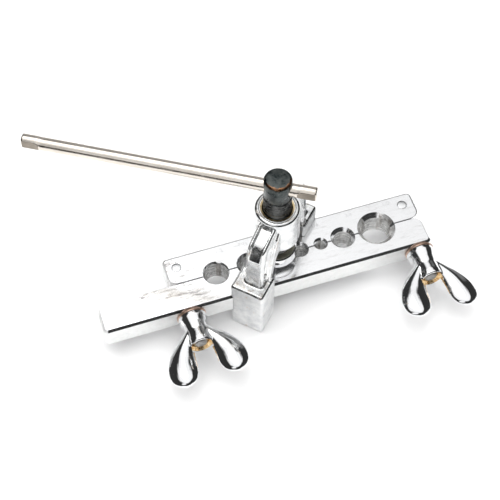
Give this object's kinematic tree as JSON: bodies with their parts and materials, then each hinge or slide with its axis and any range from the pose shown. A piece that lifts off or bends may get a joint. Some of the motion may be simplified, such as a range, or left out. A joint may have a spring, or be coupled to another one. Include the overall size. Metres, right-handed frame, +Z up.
{
  "type": "flaring tool",
  "caption": "Tube flaring tool: a split die bar closed by wing nuts, and a slip-on yoke whose feed screw drives a 45 degree cone by a sliding bar handle.",
  "frame": {"origin": "middle of the tool's footprint, on the surface that the yoke's two feet stand on", "axes": "+X along the die bar towards the largest tube hole, +Y towards the bar's rear half, +Z up along the feed screw"},
  "size_m": [0.2144, 0.1276, 0.0983],
  "materials": {
    "chrome_plate": "bright chrome plate",
    "satin_chrome": "chrome plate over an as-forged surface",
    "plain_steel": "bare machined steel",
    "black_oxide": "black oxide with rust on the rim",
    "warm_nickel": "nickel plate with a warm tint",
    "coppery_washer": "coppery plate",
    "bronze_bush": "dull oily bronze"
  },
  "bodies": {
    "die_bar": {"front_bar": "chrome_plate", "rear_bar": "chrome_plate", "guide_dowel_left": "plain_steel", "guide_dowel_right": "plain_steel", "stud_left": "plain_steel", "stud_right": "plain_steel", "stud_pin_left": "plain_steel", "stud_pin_right": "plain_steel"},
    "yoke": {"yoke": "satin_chrome", "hub_bush": "bronze_bush"},
    "cone": {"flaring_cone": "chrome_plate", "thrust_ball": "plain_steel", "cone_pin_a": "plain_steel", "cone_pin_b": "plain_steel"},
    "screw": {"feed_screw": "black_oxide"},
    "handle": {"handle_bar": "warm_nickel"},
    "washer_left": {"washer_left": "coppery_washer"},
    "nut_left": {"wing_nut_left": "chrome_plate"},
    "washer_right": {"washer_right": "coppery_washer"},
    "nut_right": {"wing_nut_right": "chrome_plate"}
  },
  "joints": [
    {"name": "yoke_turn", "type": "hinge", "parent": "die_bar", "child": "yoke", "pos_m": [0.00895, -0.0073, 0.0259], "axis": [0, 0, 1], "range_deg": [0, 45]},
    {"name": "cone_travel", "type": "slide", "parent": "yoke", "child": "cone", "axis": [0, 0, 1], "range_m": [0, 0.0095]},
    {"name": "screw_turn", "type": "hinge", "parent": "cone", "child": "screw", "pos_m": [0.00895, -0.0073, 0.0259], "axis": [0, 0, 1], "range_deg": [0, 1710]},
    {"name": "handle_slide", "type": "slide", "parent": "screw", "child": "handle", "axis": [0.8572, -0.515, 0], "range_m": [0, 0.112]},
    {"name": "nut_travel_left", "type": "slide", "parent": "die_bar", "child": "washer_left", "axis": [0, -1, 0], "range_m": [0, 0.005]},
    {"name": "nut_turn_left", "type": "hinge", "parent": "washer_left", "child": "nut_left", "pos_m": [-0.04435, -0.0243, 0.0189], "axis": [0, -1, 0], "range_deg": [0, 1440]},
    {"name": "nut_travel_right", "type": "slide", "parent": "die_bar", "child": "washer_right", "axis": [0, -1, 0], "range_m": [0, 0.005]},
    {"name": "nut_turn_right", "type": "hinge", "parent": "washer_right", "child": "nut_right", "pos_m": [0.08575, -0.0243, 0.0189], "axis": [0, -1, 0], "range_deg": [0, 1440]}
  ],
  "couplings": [
    {"joint": "cone_travel", "follows": "screw_turn", "m_per_rad": 0.00031831},
    {"joint": "nut_travel_left", "follows": "nut_turn_left", "m_per_rad": 0.00019894},
    {"joint": "nut_travel_right", "follows": "nut_turn_right", "m_per_rad": 0.00019894}
  ]
}
